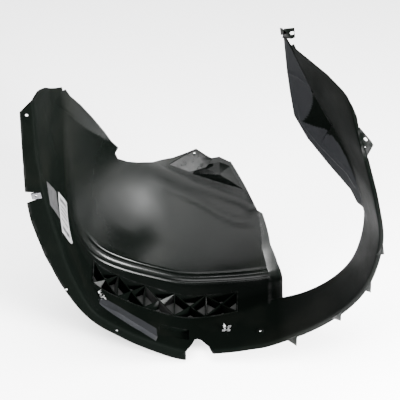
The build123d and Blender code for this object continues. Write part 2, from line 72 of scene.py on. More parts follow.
# The moulding's driving sizes, in metres. X runs along the car, Y inboard, Z up.
WALL = 0.003
CREASE_RADIUS = 0.007
RIM_RADIUS = 0.005
RIM_HEIGHT = 0.009
LAP = 0.008
FRONT_FLANGE = 0.026
REAR_FLANGE = 0.008
OUTERMOST = -0.3286
LOWEST = -0.0235
DEEPEST = 0.3172
SHARP_ANGLE = 32
# Height and how much wider than its usual width the front flange is there.
FLANGE_WIDENING = [
    (0.0, 0.0), (0.02, -0.003), (0.06, -0.0055), (0.11, -0.005), (0.155, 0.0), (0.19, 0.004),
    (0.23, 0.007), (0.26, 0.012), (0.3, 0.014), (0.34, 0.0152), (0.39, 0.0115), (0.42, 0.007),
    (0.45, 0.0022), (0.6, 0.0),
]

# Lip crease: X, Z, inboard shift, depth of the band, how far it closes in.
LIP_STATIONS = [
    (-0.303, 0.58, 0.03, 0.105, 0.022), (-0.3, 0.45, 0.01, 0.105, 0.018),
    (-0.287, 0.366, 0.003, 0.105, 0.008), (-0.27, 0.287, 0.0, 0.105, -0.002),
    (-0.25, 0.203, 0.0, 0.105, -0.012), (-0.211, 0.113, 0.0, 0.105, -0.018),
    (-0.151, 0.063, 0.0, 0.105, -0.014), (-0.09, 0.03, 0.0, 0.105, -0.009),
    (-0.028, 0.008, 0.0, 0.107, -0.004), (0.04, 0.009, 0.0, 0.112, 0.003),
    (0.102, 0.019, 0.0, 0.12, 0.011), (0.147, 0.031, 0.0, 0.124, 0.014), (0.226, 0.07, 0.0, 0.118, 0.006),
    (0.289, 0.121, 0.0, 0.112, 0.007), (0.328, 0.185, 0.0, 0.106, 0.013),
    (0.345, 0.28, 0.0, 0.102, 0.021), (0.331, 0.366, 0.0, 0.112, 0.028), (0.308, 0.45, 0.0, 0.135, 0.042),
    (0.281, 0.54, 0.0, 0.19, 0.074), (0.262, 0.61, 0.0, 0.23, 0.092),
]

# Axis of the fan of dish sections, and the sections: direction in degrees, depth of the
# inner corner, its stand-off from the band's edge, rise of the wall.
FAN_X = -0.04
FAN_Z = 0.42
DISH_STATIONS = [
    (150.0, 0.165, 0.024, 0.06), (165.0, 0.172, 0.022, 0.062), (180.0, 0.182, 0.018, 0.066),
    (197.0, 0.198, 0.012, 0.072), (214.0, 0.208, 0.002, 0.084), (231.0, 0.214, -0.007, 0.09),
    (248.0, 0.232, -0.009, 0.082), (264.0, 0.246, -0.005, 0.07), (279.0, 0.252, -0.011, 0.066),
    (293.0, 0.254, -0.03, 0.066), (305.0, 0.254, -0.042, 0.066), (316.0, 0.254, -0.046, 0.066),
]
TREAD_SHARES = (0.0, 0.35, 0.7)
DISH_REACH = 0.315
LEAST_REACH = 0.06
WALL_CURVE = [(0.015, 0.04), (0.05, 0.10), (0.2, 0.32), (0.45, 0.62), (0.72, 0.85), (1.0, 1.0)]
CORNER_SOFTNESS = 0.008
ARM_TOP_ANGLE = 147.0
FOLD_ANGLE = 296.4

# Turned edge strip: place along the dish's line, fold direction, free edge, fall back.
EDGE_STRIP = [
    (0, 296.4, 300.2, 0.0), (1, 295.9, 299.4, 0.005), (3, 295.2, 298.2, 0.012), (5, 295.3, 298.4, 0.013),
    (6, 296.6, 299.2, 0.011), (7, 301.9, 302.6, 0.004),
]
STRIP_STEPS = 4

# Beads beside the inner corner.
BEADS_FROM = 235.0
BEADS_FULL = 242.0
BEAD_RADIUS = 0.004
BEAD_PLACES = (3, 5)

# Lattice recess.
LATTICE_FROM = 240.5
LATTICE_PITCH = 9.15
LATTICE_CELLS = 5
LATTICE_NEAR = 0.113
LATTICE_FAR = 0.191
RECESS_DEPTH = 0.024
RECESS_STEPS = 40
RIB = 0.0024
FRAME_LIP = 0.002
DRAIN_CELLS = (1, 3, 4, 4.85)
DRAIN_RADIUS = 0.0025
DRAIN_LENGTH = 0.012
# Within this height, and with these margins, a face belongs to the recess.
LATTICE_TOP = 0.1
RECESS_MARGIN = 0.001
RECESS_SWING = 0.3

# Faceted bump on the dome: directions and shares of the wall's reach; the tip's rise last.
BUMP_BASE = [(275.0, 0.77), (281.2, 0.84), (297.8, 0.9), (303.2, 0.87), (302.0, 0.64)]
BUMP_TIP = (296.3, 0.85, 0.031)
BUMP_SINK = 0.002

# Rear wall: height where each section leaves the band, and its free end.
REAR_WALL = [
    (0.29, 0.3275, 0.108, 0.286), (0.302, 0.313, 0.122, 0.292), (0.339, 0.3, 0.135, 0.314),
    (0.4, 0.256, 0.172, 0.352), (0.445, 0.216, 0.218, 0.384), (0.485, 0.189, 0.24, 0.424),
    (0.52, 0.179, 0.247, 0.474), (0.562, 0.171, 0.252, 0.523), (0.605, 0.162, 0.258, 0.595),
]

# Outlines in front view, X and Z, unless said otherwise.
ARM_CORNER = [
    (-0.36, 0.53), (-0.326, 0.556), (-0.31, 0.572), (-0.299, 0.581), (-0.299, 0.66), (-0.36, 0.66),
]
# In side view, Y and Z.
ARM_TREAD = [
    (-0.02, 0.586), (0.049, 0.581), (0.078, 0.573), (0.105, 0.562), (0.126, 0.549), (0.147, 0.538),
    (0.161, 0.532), (0.173, 0.515), (0.34, 0.515), (0.34, 0.66), (-0.02, 0.66),
]
ARM_INNER_X = -0.2
ARM_END = [
    (0.31, 0.47), (0.3, 0.5), (0.288, 0.537), (0.283, 0.559), (0.274, 0.58), (0.264, 0.596), (0.256, 0.6),
    (0.226, 0.603), (0.193, 0.6), (0.176, 0.594), (0.163, 0.601), (0.15, 0.61), (0.15, 0.68),
    (0.36, 0.68), (0.36, 0.47),
]
LIP_TAB = [(0.303, 0.462), (0.3085, 0.479), (0.317, 0.5), (0.313, 0.507), (0.289, 0.537), (0.286, 0.53)]
# Holes of the tabs: X, Y, Z and radius. The slot: X, Z, length, width and turn in degrees.
LIP_TAB_HOLE = (0.3015, 0.0, 0.495, 0.002)
LIP_TAB_SLOT = (0.302, 0.512, 0.01, 0.005, 125)
TIP_TAB = [(0.16, 0.59), (0.163, 0.609), (0.183, 0.611), (0.185, 0.591), (0.178, 0.588)]
TIP_TAB_Y = 0.252
TIP_TAB_HOLE = (0.179, 0.252, 0.6, 0.0045)
TIP_SLIVER = [(0.157, 0.596), (0.1545, 0.6105), (0.1585, 0.6105), (0.17, 0.6)]
# From above, X and Y.
CROWN_CUT = [
    (-0.03, -0.02), (-0.03, 0.0), (-0.018, 0.023), (-0.011, 0.042), (-0.006, 0.045), (0.002, 0.041),
    (0.017, 0.02), (0.022, 0.005), (0.029, 0.0), (0.029, -0.02),
]
CROWN_REACH = 0.06
# In front view again: triangular teeth along the lip, and screw holes of the front flange.
TEETH = [
    [(0.176, 0.038), (0.197, 0.05), (0.197, 0.021)],
    [(0.264, 0.094), (0.283, 0.11), (0.283, 0.087)],
    [(0.323, 0.165), (0.337, 0.186), (0.338, 0.159)],
    [(0.342, 0.25), (0.353, 0.275), (0.357, 0.253)],
]
FLANGE_HOLES = [(-0.316, 0.548), (-0.264, 0.166), (-0.168, 0.061)]
FLANGE_HOLE_RADIUS = 0.003
FLANGE_HOLE_LENGTH = 0.12
DISH_OUTLINE = [
    (-0.265, 0.64), (-0.264, 0.525), (-0.2525, 0.496), (-0.235, 0.469), (-0.218, 0.436), (-0.201, 0.399),
    (-0.181, 0.353), (-0.169, 0.331), (-0.176, 0.319), (-0.171, 0.302), (-0.152, 0.289), (-0.13, 0.281),
    (-0.1, 0.275), (-0.059, 0.279), (-0.028, 0.289), (-0.008, 0.297), (0.023, 0.274), (0.041, 0.277),
    (0.062, 0.266), (0.08, 0.264), (0.092, 0.24), (0.13, 0.24), (0.13, 0.64),
]
# Notch in the front flange.
NOTCH_Z = 0.389
NOTCH_DEPTH = 0.014
NOTCH_MOUTH = 0.021
NOTCH_FLOOR = 0.013
NOTCH_REACH = 0.02
NOTCH_FLARE = 0.004
# How far a cutter goes past a face.
CUT = 0.02


# Sections of the moulding

def unit(vector):
    length = math.hypot(*vector)
    return tuple(part / length for part in vector)


def smooth(keys, values, key):
    """Value at a key on the smooth curve through given values at given keys."""
    last = len(keys) - 1
    i = max([j for j in range(last) if keys[j] <= key], default=0)
    rates = []
    for j in (i, i + 1):
        before = max(j - 1, 0)
        after = min(j + 1, last)
        rates.append((values[after] - values[before]) / (keys[after] - keys[before]))
    step = keys[i + 1] - keys[i]
    t = (key - keys[i]) / step
    rise = values[i + 1] - values[i]
    curve = (rates[0] + rates[1]) * step - 2 * rise
    bend = 3 * rise - (2 * rates[0] + rates[1]) * step
    return values[i] + rates[0] * step * t + bend * t**2 + curve * t**3


def ease(low, high, value):
    """0 below low, 1 above high, smooth between."""
    t = min(max((value - low) / (high - low), 0.0), 1.0)
    return t * t * (3 - 2 * t)


def lip_station(place):
    return [smooth(LIP_KEYS, column, place) for column in LIP_COLUMNS]


# Steps over which a direction is measured, in stations along the lip and in metres on the tread.
NUDGE = 0.05
TREAD_NUDGE = 0.004
LIP_KEYS = list(range(len(LIP_STATIONS)))
LIP_COLUMNS = list(zip(*LIP_STATIONS))


def inward(place):
    before = lip_station(place - NUDGE)
    after = lip_station(place + NUDGE)
    run = unit((after[0] - before[0], after[1] - before[1]))
    return (-run[1], run[0])


def band_edge(place):
    x, z, inboard, depth, close = lip_station(place)
    n = inward(place)
    return Vector((x + n[0] * close, inboard + depth, z + n[1] * close))


def lip_crease(place):
    x, z, inboard = lip_station(place)[:3]
    return Vector((x, inboard, z))


def lap_point(place):
    lip = lip_crease(place)
    edge = band_edge(place)
    return edge + (lip - edge) * (LAP / (edge.y - lip.y))


HALVINGS = 26


def found(wanted, point_at):
    """Place along the stations where wanted changes from true to false."""
    low = 0.0
    high = len(LIP_STATIONS) - 1.0
    for _ in range(HALVINGS):
        middle = (low + high) / 2
        if wanted(point_at(middle)):
            low = middle
        else:
            high = middle
    return low


def fan_angle(point):
    angle = math.degrees(math.atan2(point.z - FAN_Z, point.x - FAN_X)) % 360
    return angle if angle > 90 else angle + 360


def fan_point(angle, radius, depth):
    a = math.radians(angle)
    return Vector((FAN_X + math.cos(a) * radius, depth, FAN_Z + math.sin(a) * radius))


def lap_reach(angle):
    p = lap_point(found(lambda q: fan_angle(q) < angle, lap_point))
    return math.hypot(p.x - FAN_X, p.z - FAN_Z), p.y


def dish_station(angle):
    keys, *columns = zip(*DISH_STATIONS)
    return [smooth(keys, column, angle) for column in columns]


def dish_line(angle):
    """Radius and depth of the dish's visible face in one direction: tread, corner, wall."""
    corner_depth, close, rise = dish_station(angle)
    reach, first = lap_reach(angle)
    knee = reach - close
    points = [(reach + (knee - reach) * t, first + (corner_depth - first) * t) for t in TREAD_SHARES]
    points.append((knee, corner_depth - CORNER_SOFTNESS))
    wall_reach = min(DISH_REACH, knee - LEAST_REACH)
    for along, in_share in WALL_CURVE:
        points.append((knee - wall_reach * along, corner_depth + rise * in_share))
    return points


def tread_radius(angle, depth):
    line = dish_line(angle)
    share = (depth - line[0][1]) / (line[3][1] - line[0][1])
    return line[0][0] + (line[3][0] - line[0][0]) * share


def fillet(middle, first, second, radius, count):
    """Points along the arc that rounds one corner of a section."""
    a = unit((first[0] - middle[0], first[1] - middle[1]))
    b = unit((second[0] - middle[0], second[1] - middle[1]))
    half = math.acos(a[0] * b[0] + a[1] * b[1]) / 2
    bisector = unit((a[0] + b[0], a[1] + b[1]))
    centre = np.array(middle) + np.array(bisector) * radius / math.sin(half)
    cut = radius / math.tan(half)
    spoke_a = np.array(middle) + np.array(a) * cut - centre
    spoke_b = np.array(middle) + np.array(b) * cut - centre
    turn = math.pi - 2 * half
    points = []
    for i in range(count):
        t = i / (count - 1)
        spoke = (math.sin((1 - t) * turn) * spoke_a + math.sin(t * turn) * spoke_b) / math.sin(turn)
        points.append(tuple(centre + spoke))
    return points


def between(first, last, count):
    """Points on a straight run, without its last point."""
    return [tuple(np.array(first) + (np.array(last) - np.array(first)) * i / count) for i in range(count)]


def band_profile(place):
    """Outward distance and depth of the band's visible face: to the lap, and past it to the rim."""
    x, z, _, depth, close = lip_station(place)
    flange = REAR_FLANGE
    if x < 0:
        heights, widths = zip(*FLANGE_WIDENING)
        flange = FRONT_FLANGE + float(np.interp(z, heights, widths))
    crease = fillet((0, 0), (flange, 0), (-close, depth), CREASE_RADIUS, 7)
    rim = fillet((-close, depth), (0, 0), (RIM_HEIGHT - close, depth), RIM_RADIUS, 6)
    lap = (-close * (depth - LAP) / depth, depth - LAP)
    near = between((flange, 0), crease[0], 4) + crease[:-1] + between(crease[-1], lap, 12) + [lap]
    far = between(lap, rim[0], 2)[1:] + rim + [(RIM_HEIGHT - close, depth)]
    return near, far


def band_points(place, profile):
    x, z, inboard = lip_station(place)[:3]
    n = inward(place)
    return [Vector((x - n[0] * out, inboard + deep, z - n[1] * out)) for out, deep in profile]


# Meshes

def link(name, data):
    obj = bpy.data.objects.new(name, data)
    bpy.context.scene.collection.objects.link(obj)
    return obj


def mesh_object(name, points, faces):
    mesh = bpy.data.meshes.new(name)
    mesh.from_pydata([tuple(p) for p in points], [], faces)
    mesh.validate()
    return link(name, mesh)


def grid_faces(rows, columns, start=0):
    faces = []
    for i in range(rows - 1):
        for j in range(columns - 1):
            a = start + i * columns + j
            faces.append((a, a + columns, a + columns + 1, a + 1))
    return faces


def sheet(name, grids, toward):
    """Grids of points welded into one sheet whose normals face a direction."""
    points = []
    faces = []
    for rows in grids:
        faces += grid_faces(len(rows), len(rows[0]), len(points))
        points += [p for row in rows for p in row]
    obj = mesh_object(name, points, faces)
    bm = bmesh.new()
    bm.from_mesh(obj.data)
    bmesh.ops.remove_doubles(bm, verts=bm.verts, dist=0.00002)
    bm.normal_update()
    facing = sum((f.normal * f.calc_area() for f in bm.faces), Vector()).dot(Vector(toward))
    if facing < 0:
        bmesh.ops.reverse_faces(bm, faces=bm.faces)
    bm.to_mesh(obj.data)
    bm.free()
    return obj


def applied(obj):
    """obj with its modifiers made real."""
    bpy.context.view_layer.update()
    graph = bpy.context.evaluated_depsgraph_get()
    mesh = bpy.data.meshes.new_from_object(obj.evaluated_get(graph))
    obj.modifiers.clear()
    obj.data = mesh
    return obj


def thicken(obj, thickness=WALL, offset=-1.0):
    """Gives a sheet its wall, away from the side that its normals face unless the offset is 1."""
    mod = obj.modifiers.new("wall", "SOLIDIFY")
    mod.thickness = thickness
    mod.offset = offset
    return applied(obj)


def boolean(obj, tools, operation="DIFFERENCE"):
    group = bpy.data.collections.new("tools")
    for tool in tools:
        group.objects.link(tool)
    mod = obj.modifiers.new("cut", "BOOLEAN")
    mod.operand_type = "COLLECTION"
    mod.collection = group
    mod.operation = operation
    mod.solver = "EXACT"
    applied(obj)
    for tool in tools:
        bpy.data.objects.remove(tool)
    bpy.data.collections.remove(group)
    return obj


def facing_out(obj):
    """The same closed mesh with every face turned outwards."""
    bm = bmesh.new()
    bm.from_mesh(obj.data)
    bmesh.ops.recalc_face_normals(bm, faces=bm.faces)
    bm.to_mesh(obj.data)
    bm.free()
    return obj


def lofted(name, rings):
    """Closed solid through rings of points, with flat ends."""
    size = len(rings[0])
    last = (len(rings) - 1) * size
    faces = [tuple(range(size)), tuple(range(last + size - 1, last - 1, -1))]
    for start in range(0, last, size):
        for k in range(size):
            a = start + k
            b = start + (k + 1) % size
            faces.append((b, a, a + size, b + size))
    return facing_out(mesh_object(name, [p for ring in rings for p in ring], faces))


def prism(ring_a, ring_b):
    return lofted("tool", [ring_a, ring_b])


def through(ring, step):
    """Cutter that goes through a ring of points by a step, to both sides."""
    return prism([p - step for p in ring], [p + step for p in ring])


def front_prism(outline, y0=-0.1, y1=0.45):
    return prism([(x, y0, z) for x, z in outline], [(x, y1, z) for x, z in outline])


def side_prism(outline, x0, x1):
    return prism([(x0, y, z) for y, z in outline], [(x1, y, z) for y, z in outline])


def top_prism(outline, z0, z1):
    return prism([(x, y, z0) for x, y in outline], [(x, y, z1) for x, y in outline])


def drill(centre, axis, radius, length=0.06, count=24):
    axis = Vector(axis).normalized()
    side = axis.orthogonal().normalized()
    other = axis.cross(side)
    ring = []
    for i in range(count):
        a = 2 * math.pi * i / count
        ring.append(Vector(centre) + side * math.cos(a) * radius + other * math.sin(a) * radius)
    return through(ring, axis * length / 2)


def joined(name, objs):
    bm = bmesh.new()
    for obj in objs:
        bm.from_mesh(obj.data)
        bpy.data.objects.remove(obj)
    mesh = bpy.data.meshes.new(name)
    bm.to_mesh(mesh)
    bm.free()
    return link(name, mesh)


def soft_shading(obj, angle):
    obj.data.polygons.foreach_set("use_smooth", [True] * len(obj.data.polygons))
    obj.data.set_sharp_from_angle(angle=math.radians(angle))


# Relief on a sheet, along its visible side

# Share of a path's length over which relief fades at each end
RIDGE_FADE = 0.12
BEND_FADE = 0.1


def path_distances(points, path, axes):
    """Distance of each point from a path, its signed side, and how far along the path it lies."""
    q = points[:, axes]
    line = np.array(path)[:, axes]
    best = np.full(len(q), 1e9)
    side = np.zeros(len(q))
    along = np.zeros(len(q))
    for k, (a, b) in enumerate(zip(line, line[1:])):
        run = b - a
        t = np.clip(((q - a) @ run) / (run @ run), 0, 1)
        gap = q - (a + t[:, None] * run)
        d = np.linalg.norm(gap, axis=1)
        near = d < best
        best[near] = d[near]
        cross = run[0] * gap[:, 1] - run[1] * gap[:, 0]
        side[near] = np.sign(cross)[near]
        along[near] = (k + t[near]) / (len(line) - 1)
    return best, side, along


def vertex_arrays(obj):
    mesh = obj.data
    points = np.empty(len(mesh.vertices) * 3)
    normals = np.empty(len(mesh.vertices) * 3)
    mesh.vertices.foreach_get("co", points)
    mesh.vertex_normals.foreach_get("vector", normals)
    return points.reshape(-1, 3), normals.reshape(-1, 3)


def raise_by(obj, amount):
    points, normals = vertex_arrays(obj)
    obj.data.vertices.foreach_set("co", (points + normals * amount[:, None]).ravel())
    obj.data.update()


def ridges(obj, table):
    """Soft ridges, or grooves where the rise is negative, along paths; they fade at the ends."""
    for path, width, rise in table:
        d, _, along = path_distances(vertex_arrays(obj)[0], path, [0, 1, 2])
        fade = np.clip(np.minimum(along, 1 - along) / RIDGE_FADE, 0, 1)
        raise_by(obj, rise * np.clip(1 - (d / width) ** 2, 0, 1) ** 2 * fade)


def bend(obj, path, reach, tilt, toward=1.0, axes=(0, 2)):
    """Bends the part of a sheet on one side of a path, by a tilt that starts at the path."""
    d, side, along = path_distances(vertex_arrays(obj)[0], path, list(axes))
    fade = np.clip(np.minimum(along, 1 - along) / BEND_FADE, 0, 1)
    near = (side * toward > 0) & (d < 1.5 * reach)
    raise_by(obj, np.where(near, np.minimum(d, reach) * tilt * fade, 0.0))


def bulge(obj, centre, radii, rise):
    """Broad swelling round a centre, with its own reach along each axis."""
    share = np.linalg.norm((vertex_arrays(obj)[0] - np.array(centre)) / np.array(radii), axis=1)
    raise_by(obj, rise * np.cos(np.clip(share, 0, 1) * math.pi / 2) ** 2)


# The dish and its front arm

FRONT_ROWS = 220
BAND_ROWS = 150
REAR_ROWS = 120
DOME_TOP_PLACE = 9
DOME_TOP_ANGLE = 305.4
FOLD_KEYS = [row[0] for row in EDGE_STRIP] + [DOME_TOP_PLACE]
FOLD_VALUES = [row[1] for row in EDGE_STRIP] + [DOME_TOP_ANGLE]
# Columns of the tread before the beads, between them, and of the wall past them.
TREAD_SPOTS = 14
BETWEEN_SPOTS = 6
WALL_SPOTS = 34
EVEN_SPOTS = 401
FINE_STEP = 0.05
LEAST_SOFTNESS = 0.002
ARM_SOFTNESS = 0.034
SOFT_UNTIL = 205
SHARP_FROM = 238
BEAD_STEPS = [-1.5, -1.15, -0.98, -0.8, -0.5, -0.2, 0.2, 0.5, 0.8, 0.98, 1.15, 1.5]


def line_point(line, place):
    keys = list(range(len(line)))
    return np.array([smooth(keys, [p[0] for p in line], place), smooth(keys, [p[1] for p in line], place)])


def evened(values, half):
    """Values averaged with their neighbours along the first axis; the first and last stay."""
    kernel = np.hanning(2 * half + 3)
    kernel /= kernel.sum()
    before = 2 * values[0] - values[half + 1:0:-1]
    after = 2 * values[-1] - values[-2:-half - 3:-1]
    tall = np.concatenate([before, values, after])
    return sum(k * tall[i:i + len(values)] for i, k in enumerate(kernel))


def blurred(values, spots, width):
    """Values along a section with its corners softened over a width."""
    even = np.linspace(spots[0], spots[-1], EVEN_SPOTS)
    half = max(int(width / (even[1] - even[0])), 1)
    return np.interp(spots, even, evened(np.interp(even, spots, values), half))


def dish_columns(line, strength, softness):
    """Points of one dish section, softened over a width, with its two beads raised by a strength."""
    fine = [i * FINE_STEP for i in range(int((len(line) - 1) / FINE_STEP) + 1)]
    curve = np.array([line_point(line, place) for place in fine])
    steps = np.hypot(*np.diff(curve, axis=0).T)
    run = np.concatenate([[0.0], np.cumsum(steps)])
    beads = [np.interp(place, fine, run) for place in BEAD_PLACES]
    spots = list(np.linspace(0, beads[0] + BEAD_STEPS[0] * BEAD_RADIUS, TREAD_SPOTS)[:-1])
    spots += [beads[0] + k * BEAD_RADIUS for k in BEAD_STEPS]
    spots += list(np.linspace(spots[-1], beads[1] + BEAD_STEPS[0] * BEAD_RADIUS, BETWEEN_SPOTS)[1:-1])
    spots += [beads[1] + k * BEAD_RADIUS for k in BEAD_STEPS]
    spots += list(np.linspace(spots[-1], run[-1], WALL_SPOTS)[1:])
    spots = np.array(spots)
    places = np.interp(spots, run, fine)
    radius = np.interp(spots, run, curve[:, 0])
    depth = np.interp(spots, run, curve[:, 1])
    if softness > LEAST_SOFTNESS:
        radius = blurred(radius, spots, softness)
        depth = blurred(depth, spots, softness)
    d_radius = np.gradient(radius, spots)
    d_depth = np.gradient(depth, spots)
    height = np.zeros(len(spots))
    for bead in beads:
        height += np.sqrt(np.clip(BEAD_RADIUS**2 - (spots - bead) ** 2, 0, None)) * strength
    # The visible side lies towards the axis on the tread and outboard on the wall
    radius = radius - d_depth * height
    depth = depth + d_radius * height
    return places, radius, depth


def dome_point(angle, share):
    """Point of the dome in one direction, at a share of the wall's reach from its corner."""
    line = dish_line(angle)
    corner_depth, _, wall_rise = dish_station(angle)
    outer = line[3][0]
    along, rise = zip(*WALL_CURVE)
    radius = outer - (outer - line[-1][0]) * share
    return fan_point(angle, radius, corner_depth + wall_rise * smooth(along, rise, share))


def softened_rows(rows, start, half=9, fade=12):
    """Rows of the sheet evened out from row to row, more and more past a starting column."""
    grid = np.array([[tuple(p) for p in row] for row in rows])
    share = np.clip((np.arange(grid.shape[1]) - start) / fade, 0, 1)[None, :, None]
    return [[Vector(p) for p in row] for row in grid * (1 - share) + evened(grid, half) * share]


# Broad swelling of the dome: its middle, its reach along X, Y and Z, its rise.
SWELLING = ((-0.16, 0.285, 0.145), (0.1, 0.09, 0.12), 0.012)
# Soft ridge and groove across the dome, edge strip and creases of the front arm, X, Y and Z.
DOME_RIDGE = [(-0.12, 0.296, 0.28), (-0.02, 0.306, 0.22), (0.096, 0.3, 0.177), (0.125, 0.296, 0.155)]
DOME_GROOVE = [
    (-0.105, 0.295, 0.242), (-0.055, 0.298, 0.204), (0.001, 0.298, 0.173), (0.036, 0.294, 0.15),
    (0.075, 0.291, 0.131), (0.13, 0.289, 0.125),
]
ARM_STRIP = [
    (-0.278, 0.12, 0.53), (-0.274, 0.138, 0.503), (-0.26, 0.175, 0.468), (-0.244, 0.191, 0.44),
    (-0.227, 0.208, 0.412), (-0.209, 0.225, 0.388), (-0.18, 0.25, 0.345),
]
STRIP_REACH = 0.02
STRIP_TILT = -0.5
ARM_CREASE = [
    (-0.3, 0.035, 0.56), (-0.3, 0.035, 0.532), (-0.299, 0.024, 0.474), (-0.3, 0.012, 0.446),
    (-0.298, 0.009, 0.4),
]
ARM_FOLD = [
    (-0.291, 0.075, 0.54), (-0.289, 0.088, 0.505), (-0.285, 0.1, 0.463), (-0.281, 0.111, 0.42),
    (-0.278, 0.12, 0.38),
]
# Path, half-width and rise of each.
DOME_RIDGES = ((DOME_RIDGE, 0.022, 0.003), (DOME_GROOVE, 0.012, -0.0018))
ARM_RIDGES = ((ARM_STRIP, 0.004, 0.0012), (ARM_CREASE, 0.005, 0.0014), (ARM_FOLD, 0.012, 0.002))


def front_sheet():
    rows = []
    for i in range(FRONT_ROWS + 1):
        r = i / FRONT_ROWS
        angle = ARM_TOP_ANGLE + (FOLD_ANGLE - ARM_TOP_ANGLE) * r
        place = found(lambda q: fan_angle(q) < angle, lap_point)
        row = band_points(place, band_profile(place)[0])
        strength = ease(BEADS_FROM, BEADS_FULL, angle)
        line = dish_line(angle)
        softness = ARM_SOFTNESS * (1 - ease(SOFT_UNTIL, SHARP_FROM, angle))
        places, radius, depth = dish_columns(line, strength, softness)
        for j in range(1, len(places)):
            fold = np.interp(places[j], FOLD_KEYS, FOLD_VALUES)
            own = ARM_TOP_ANGLE + (fold - ARM_TOP_ANGLE) * r
            row.append(fan_point(own, radius[j], depth[j]))
        rows.append(row)
    rows = softened_rows(rows, len(rows[0]) - len(places) + 1)
    first = found(lambda q: fan_angle(q) < FOLD_ANGLE, lap_point)
    last = len(LIP_STATIONS) - 1.0
    near = []
    for i in range(BAND_ROWS + 1):
        place = first + (last - first) * i / BAND_ROWS
        profile = band_profile(place)
        near.append(band_points(place, profile[0] + profile[1]))
    body = sheet("front", [rows, near], (0, -0.6, 0.8))
    bulge(body, *SWELLING)
    ridges(body, DOME_RIDGES)
    bend(body, ARM_STRIP, STRIP_REACH, STRIP_TILT)
    ridges(body, ARM_RIDGES)
    points, _ = vertex_arrays(body)
    points[:, 1] = np.minimum(points[:, 1], DEEPEST)
    body.data.vertices.foreach_set("co", points.ravel())
    return thicken(body)


# Facets of the tab at the top of the dome: X, Z and how far each corner stands off the dome.
TAB_FACETS = [
    (-0.009, 0.2955, 0.0035), (-0.034, 0.2845, 0.0035), (-0.064, 0.266, 0.004), (-0.022, 0.252, 0.013),
    (0.012, 0.261, 0.014), (0.026, 0.273, 0.008),
]
TAB_HOLE = (-0.012, 0.3, 0.288, 0.0028)
TAB_SINK = 0.001


def dome_depth(x, z):
    """Depth of the dome's visible face at one place of the front view, within the solids' depth."""
    angle = fan_angle(Vector((x, 0.0, z)))
    line = dish_line(angle)
    share = (line[3][0] - math.hypot(x - FAN_X, z - FAN_Z)) / (line[3][0] - line[-1][0])
    return min(dome_point(angle, share).y, DEEPEST)


def dome_tab():
    """Faceted tab on the dome's top edge, tilted up."""
    front = [Vector((x, dome_depth(x, z) - out, z)) for x, z, out in TAB_FACETS]
    back = [Vector((x, dome_depth(x, z) + TAB_SINK, z)) for x, z, _ in TAB_FACETS]
    count = len(front)
    faces = [(0, k, k + 1) for k in range(1, count - 1)] + [tuple(range(2 * count - 1, count - 1, -1))]
    faces += [(k, (k + 1) % count, count + (k + 1) % count, count + k) for k in range(count)]
    return facing_out(mesh_object("tab", front + back, faces))


# Rib line at the foot of the tread, X and Y, its rise, and how far the ramp behind it reaches.
FOOT_RIB = [(-0.205, 0.05), (-0.175, 0.04), (-0.15, 0.032), (-0.122, 0.024), (-0.09, 0.009)]
FOOT_RISE = 0.009
FOOT_REACH = 0.048
RAMP_STEPS = 36
RAMP_COLUMNS = 8
# Share of its length where the ramp reaches its full rise, and how its section falls off.
RAMP_FULL = 0.3
RAMP_FALL = 1.15
RAMP_SINK = 0.001
# Back of the rib, and its crest: how far from the rib line, and the share of the rise there.
RIB_BACK = 0.0025
RIB_CREST = ((-0.0008, 0.85), (0.0004, 1.0))


def foot_ramp():
    """Low ramp on the tread that rises to a rib line and stops in a step beside the pocket."""
    rings = []
    for i in range(RAMP_STEPS + 1):
        t = i / RAMP_STEPS * (len(FOOT_RIB) - 1)
        x, y = [np.interp(t, range(len(FOOT_RIB)), column) for column in zip(*FOOT_RIB)]
        rise = FOOT_RISE * min(1.0, i / RAMP_STEPS / RAMP_FULL)
        profile = [(-RIB_BACK, -RAMP_SINK)] + [(dy, share * rise) for dy, share in RIB_CREST]
        for k in range(1, RAMP_COLUMNS + 1):
            share = k / RAMP_COLUMNS
            profile.append((FOOT_REACH * share, rise * (1 - share) ** RAMP_FALL - RAMP_SINK * share))
        profile += [(FOOT_REACH, -2 * RAMP_SINK), (-RIB_BACK, -2 * RAMP_SINK)]
        ring = []
        for dy, high in profile:
            middle, *_, up = tread_frame(x, y + dy)
            ring.append(middle + up * high)
        rings.append(ring)
    return lofted("ramp", rings)


def recess_point(angle, depth, drop):
    return fan_point(angle, tread_radius(angle, depth) + drop, depth)


def recess_block():
    """Solid round the lattice, from just above the tread to the back of its floor."""
    swing = math.degrees(WALL / FAN_Z)
    start = LATTICE_FROM - swing
    end = LATTICE_FROM + LATTICE_CELLS * LATTICE_PITCH + swing
    near = LATTICE_NEAR - WALL
    far = LATTICE_FAR + WALL
    section = ((near, -FRAME_LIP), (far, -FRAME_LIP), (far, RECESS_DEPTH), (near, RECESS_DEPTH))
    rings = []
    for i in range(RECESS_STEPS + 1):
        angle = start + (end - start) * i / RECESS_STEPS
        rings.append([recess_point(angle, depth, drop) for depth, drop in section])
    return lofted("block", rings)


def inset(corners, margins):
    """A triangle with each side moved in by its own margin; side k runs from corner k."""
    lines = []
    centre = sum(np.array(c) for c in corners) / 3
    for k in range(3):
        a = np.array(corners[k])
        b = np.array(corners[(k + 1) % 3])
        normal = np.array([-(b - a)[1], (b - a)[0]])
        normal = normal / np.linalg.norm(normal)
        if np.dot(centre - a, normal) < 0:
            normal = -normal
        lines.append((a + normal * margins[k], b - a))
    out = []
    for k in range(3):
        (p, d), (q, e) = lines[k - 1], lines[k]
        t = np.linalg.solve(np.array([d, -e]).T, q - p)
        out.append(p + d * t[0])
    return out


